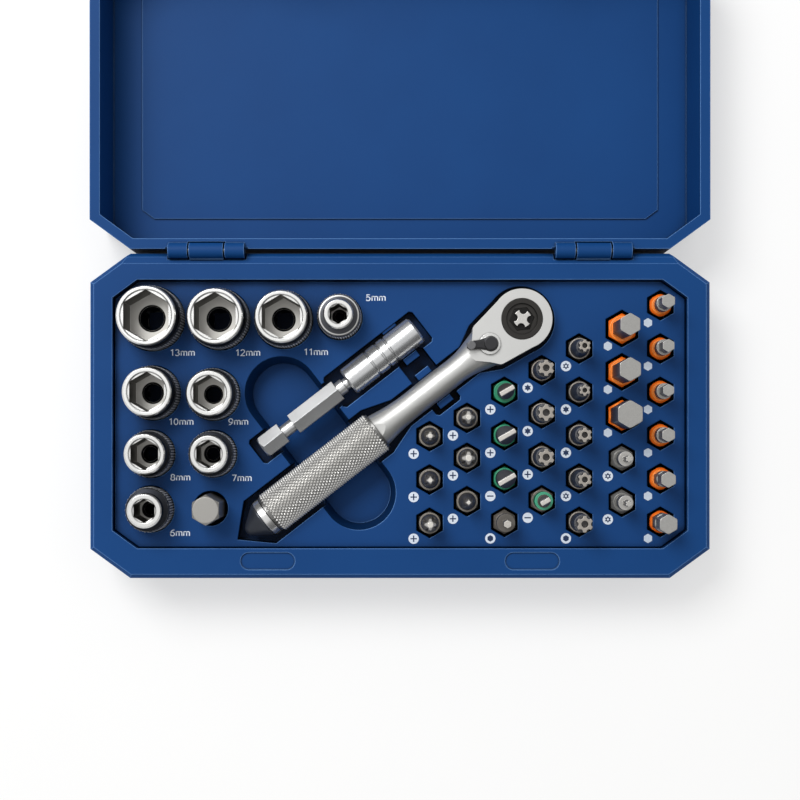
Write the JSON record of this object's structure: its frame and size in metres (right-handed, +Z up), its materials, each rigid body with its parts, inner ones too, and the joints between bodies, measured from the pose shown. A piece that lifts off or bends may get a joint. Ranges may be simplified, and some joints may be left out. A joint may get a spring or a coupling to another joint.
{
  "type": "socket wrench set",
  "caption": "Hinged blue plastic box with a fitted insert holding a small reversible ratchet, a bit holder, nested chrome sockets and rows of screwdriver bits.",
  "frame": {"origin": "centre of the base's underside", "axes": "+X along the box, +Y towards the hinges, +Z up out of the base"},
  "size_m": [0.183, 0.1979, 0.035],
  "materials": {
    "box_plastic": "fine moulded grain",
    "insert_plastic": "fine moulded grain",
    "latch_plastic": "fine moulded grain",
    "pin_steel": "drawn wire",
    "satin_steel": "satin",
    "grip_steel": "diamond knurl",
    "bright_steel": "bright",
    "black_plastic": "moulded",
    "blackened_steel": "black oxide",
    "lever_metal": "dark coated",
    "magnet": "ground",
    "socket_chrome": "bright plated",
    "dark_bit": "ground steel",
    "grey_bit": "ground steel",
    "green_bit": "coloured coat on steel",
    "orange_bit": "coloured coat on steel"
  },
  "bodies": {
    "base": {"base_shell": "box_plastic", "tool_insert": "insert_plastic"},
    "lid": {"lid_shell": "box_plastic", "hinge_pins": "pin_steel", "latch_pins": "pin_steel"},
    "left_latch": {"left_latch": "latch_plastic"},
    "right_latch": {"right_latch": "latch_plastic"},
    "ratchet": {"ratchet_body": "satin_steel", "knurled_grip": "grip_steel", "end_collar": "bright_steel", "end_cap": "black_plastic", "retaining_ring": "blackened_steel", "pawl_spring": "pin_steel"},
    "lever": {"reversing_lever": "lever_metal"},
    "pawl": {"pawl": "pin_steel"},
    "drive": {"drive_gear": "blackened_steel", "drive_bit": "bright_steel"},
    "holder": {"holder_shank": "satin_steel", "holder_sleeve": "satin_steel", "holder_magnet": "magnet"},
    "socket_5": {"socket_5": "socket_chrome"},
    "socket_6": {"socket_6": "socket_chrome"},
    "socket_7": {"socket_7": "socket_chrome"},
    "socket_8": {"socket_8": "socket_chrome"},
    "socket_9": {"socket_9": "socket_chrome"},
    "socket_10": {"socket_10": "socket_chrome"},
    "socket_11": {"socket_11": "socket_chrome"},
    "socket_12": {"socket_12": "socket_chrome"},
    "socket_13": {"socket_13": "socket_chrome"},
    "drive_adapter": {"drive_adapter": "satin_steel"},
    "cross_bit_1": {"cross_bit_1": "dark_bit"},
    "cross_bit_2": {"cross_bit_2": "dark_bit"},
    "cross_bit_3": {"cross_bit_3": "dark_bit"},
    "cross_bit_4": {"cross_bit_4": "dark_bit"},
    "cross_bit_5": {"cross_bit_5": "dark_bit"},
    "cross_bit_6": {"cross_bit_6": "dark_bit"},
    "slotted_bit_1": {"slotted_bit_1": "green_bit"},
    "slotted_bit_2": {"slotted_bit_2": "green_bit"},
    "slotted_bit_3": {"slotted_bit_3": "green_bit"},
    "slotted_bit_4": {"slotted_bit_4": "green_bit"},
    "six_lobe_bit_1": {"six_lobe_bit_1": "dark_bit"},
    "six_lobe_bit_2": {"six_lobe_bit_2": "dark_bit"},
    "six_lobe_bit_3": {"six_lobe_bit_3": "dark_bit"},
    "six_lobe_bit_4": {"six_lobe_bit_4": "dark_bit"},
    "six_lobe_bit_5": {"six_lobe_bit_5": "dark_bit"},
    "six_lobe_bit_6": {"six_lobe_bit_6": "dark_bit"},
    "six_lobe_bit_7": {"six_lobe_bit_7": "dark_bit"},
    "six_lobe_bit_8": {"six_lobe_bit_8": "dark_bit"},
    "six_lobe_bit_9": {"six_lobe_bit_9": "grey_bit"},
    "six_lobe_bit_10": {"six_lobe_bit_10": "grey_bit"},
    "hex_bit_1": {"hex_bit_1": "dark_bit"},
    "hex_bit_2": {"hex_bit_2": "orange_bit"},
    "hex_bit_3": {"hex_bit_3": "orange_bit"},
    "hex_bit_4": {"hex_bit_4": "orange_bit"},
    "hex_bit_5": {"hex_bit_5": "orange_bit"},
    "hex_bit_6": {"hex_bit_6": "orange_bit"},
    "hex_bit_7": {"hex_bit_7": "orange_bit"},
    "large_hex_bit_1": {"large_hex_bit_1": "orange_bit"},
    "large_hex_bit_2": {"large_hex_bit_2": "orange_bit"},
    "large_hex_bit_3": {"large_hex_bit_3": "orange_bit"}
  },
  "joints": [
    {"name": "lid_hinge", "type": "hinge", "parent": "base", "child": "lid", "pos_m": [0, 0.0486, 0.02265], "axis": [-1, 0, 0], "range_deg": [-180, 0]},
    {"name": "left_latch_pivot", "type": "hinge", "parent": "lid", "child": "left_latch", "pos_m": [-0.039, 0.1471, 0.0155], "axis": [-1, 0, 0], "range_deg": [0, 75]},
    {"name": "right_latch_pivot", "type": "hinge", "parent": "lid", "child": "right_latch", "pos_m": [0.039, 0.1471, 0.0155], "axis": [-1, 0, 0], "range_deg": [0, 75]},
    {"name": "ratchet_lift", "type": "slide", "parent": "base", "child": "ratchet", "axis": [0, 0, 1], "range_m": [0, 0.04]},
    {"name": "lever_swing", "type": "hinge", "parent": "ratchet", "child": "lever", "pos_m": [0.02631, 0.02095, 0.0249], "axis": [0, 0, 1], "range_deg": [0, 64]},
    {"name": "pawl_rock", "type": "hinge", "parent": "ratchet", "child": "pawl", "pos_m": [0.02631, 0.02095, 0.0201], "axis": [0, 0, 1], "range_deg": [0, 8]},
    {"name": "drive_spin", "type": "hinge", "parent": "ratchet", "child": "drive", "pos_m": [0.0358, 0.0283, 0.0201], "axis": [0, 0, 1], "continuous": true},
    {"name": "holder_lift", "type": "slide", "parent": "base", "child": "holder", "axis": [0, 0, 1], "range_m": [0, 0.04]},
    {"name": "socket_5_lift", "type": "slide", "parent": "base", "child": "socket_5", "axis": [0, 0, 1], "range_m": [0, 0.04]},
    {"name": "socket_6_lift", "type": "slide", "parent": "base", "child": "socket_6", "axis": [0, 0, 1], "range_m": [0, 0.04]},
    {"name": "socket_7_lift", "type": "slide", "parent": "base", "child": "socket_7", "axis": [0, 0, 1], "range_m": [0, 0.04]},
    {"name": "socket_8_lift", "type": "slide", "parent": "base", "child": "socket_8", "axis": [0, 0, 1], "range_m": [0, 0.04]},
    {"name": "socket_9_lift", "type": "slide", "parent": "base", "child": "socket_9", "axis": [0, 0, 1], "range_m": [0, 0.04]},
    {"name": "socket_10_lift", "type": "slide", "parent": "base", "child": "socket_10", "axis": [0, 0, 1], "range_m": [0, 0.04]},
    {"name": "socket_11_lift", "type": "slide", "parent": "base", "child": "socket_11", "axis": [0, 0, 1], "range_m": [0, 0.04]},
    {"name": "socket_12_lift", "type": "slide", "parent": "base", "child": "socket_12", "axis": [0, 0, 1], "range_m": [0, 0.04]},
    {"name": "socket_13_lift", "type": "slide", "parent": "base", "child": "socket_13", "axis": [0, 0, 1], "range_m": [0, 0.04]},
    {"name": "drive_adapter_lift", "type": "slide", "parent": "base", "child": "drive_adapter", "axis": [0, 0, 1], "range_m": [0, 0.04]},
    {"name": "cross_bit_1_lift", "type": "slide", "parent": "base", "child": "cross_bit_1", "axis": [0, 0, 1], "range_m": [0, 0.04]},
    {"name": "cross_bit_2_lift", "type": "slide", "parent": "base", "child": "cross_bit_2", "axis": [0, 0, 1], "range_m": [0, 0.04]},
    {"name": "cross_bit_3_lift", "type": "slide", "parent": "base", "child": "cross_bit_3", "axis": [0, 0, 1], "range_m": [0, 0.04]},
    {"name": "cross_bit_4_lift", "type": "slide", "parent": "base", "child": "cross_bit_4", "axis": [0, 0, 1], "range_m": [0, 0.04]},
    {"name": "cross_bit_5_lift", "type": "slide", "parent": "base", "child": "cross_bit_5", "axis": [0, 0, 1], "range_m": [0, 0.04]},
    {"name": "cross_bit_6_lift", "type": "slide", "parent": "base", "child": "cross_bit_6", "axis": [0, 0, 1], "range_m": [0, 0.04]},
    {"name": "slotted_bit_1_lift", "type": "slide", "parent": "base", "child": "slotted_bit_1", "axis": [0, 0, 1], "range_m": [0, 0.04]},
    {"name": "slotted_bit_2_lift", "type": "slide", "parent": "base", "child": "slotted_bit_2", "axis": [0, 0, 1], "range_m": [0, 0.04]},
    {"name": "slotted_bit_3_lift", "type": "slide", "parent": "base", "child": "slotted_bit_3", "axis": [0, 0, 1], "range_m": [0, 0.04]},
    {"name": "slotted_bit_4_lift", "type": "slide", "parent": "base", "child": "slotted_bit_4", "axis": [0, 0, 1], "range_m": [0, 0.04]},
    {"name": "six_lobe_bit_1_lift", "type": "slide", "parent": "base", "child": "six_lobe_bit_1", "axis": [0, 0, 1], "range_m": [0, 0.04]},
    {"name": "six_lobe_bit_2_lift", "type": "slide", "parent": "base", "child": "six_lobe_bit_2", "axis": [0, 0, 1], "range_m": [0, 0.04]},
    {"name": "six_lobe_bit_3_lift", "type": "slide", "parent": "base", "child": "six_lobe_bit_3", "axis": [0, 0, 1], "range_m": [0, 0.04]},
    {"name": "six_lobe_bit_4_lift", "type": "slide", "parent": "base", "child": "six_lobe_bit_4", "axis": [0, 0, 1], "range_m": [0, 0.04]},
    {"name": "six_lobe_bit_5_lift", "type": "slide", "parent": "base", "child": "six_lobe_bit_5", "axis": [0, 0, 1], "range_m": [0, 0.04]},
    {"name": "six_lobe_bit_6_lift", "type": "slide", "parent": "base", "child": "six_lobe_bit_6", "axis": [0, 0, 1], "range_m": [0, 0.04]},
    {"name": "six_lobe_bit_7_lift", "type": "slide", "parent": "base", "child": "six_lobe_bit_7", "axis": [0, 0, 1], "range_m": [0, 0.04]},
    {"name": "six_lobe_bit_8_lift", "type": "slide", "parent": "base", "child": "six_lobe_bit_8", "axis": [0, 0, 1], "range_m": [0, 0.04]},
    {"name": "six_lobe_bit_9_lift", "type": "slide", "parent": "base", "child": "six_lobe_bit_9", "axis": [0, 0, 1], "range_m": [0, 0.04]},
    {"name": "six_lobe_bit_10_lift", "type": "slide", "parent": "base", "child": "six_lobe_bit_10", "axis": [0, 0, 1], "range_m": [0, 0.04]},
    {"name": "hex_bit_1_lift", "type": "slide", "parent": "base", "child": "hex_bit_1", "axis": [0, 0, 1], "range_m": [0, 0.04]},
    {"name": "hex_bit_2_lift", "type": "slide", "parent": "base", "child": "hex_bit_2", "axis": [0, 0, 1], "range_m": [0, 0.04]},
    {"name": "hex_bit_3_lift", "type": "slide", "parent": "base", "child": "hex_bit_3", "axis": [0, 0, 1], "range_m": [0, 0.04]},
    {"name": "hex_bit_4_lift", "type": "slide", "parent": "base", "child": "hex_bit_4", "axis": [0, 0, 1], "range_m": [0, 0.04]},
    {"name": "hex_bit_5_lift", "type": "slide", "parent": "base", "child": "hex_bit_5", "axis": [0, 0, 1], "range_m": [0, 0.04]},
    {"name": "hex_bit_6_lift", "type": "slide", "parent": "base", "child": "hex_bit_6", "axis": [0, 0, 1], "range_m": [0, 0.04]},
    {"name": "hex_bit_7_lift", "type": "slide", "parent": "base", "child": "hex_bit_7", "axis": [0, 0, 1], "range_m": [0, 0.04]},
    {"name": "large_hex_bit_1_lift", "type": "slide", "parent": "base", "child": "large_hex_bit_1", "axis": [0, 0, 1], "range_m": [0, 0.04]},
    {"name": "large_hex_bit_2_lift", "type": "slide", "parent": "base", "child": "large_hex_bit_2", "axis": [0, 0, 1], "range_m": [0, 0.04]},
    {"name": "large_hex_bit_3_lift", "type": "slide", "parent": "base", "child": "large_hex_bit_3", "axis": [0, 0, 1], "range_m": [0, 0.04]}
  ],
  "couplings": [
    {"joint": "pawl_rock", "follows": "lever_swing", "ratio": 0.125}
  ]
}
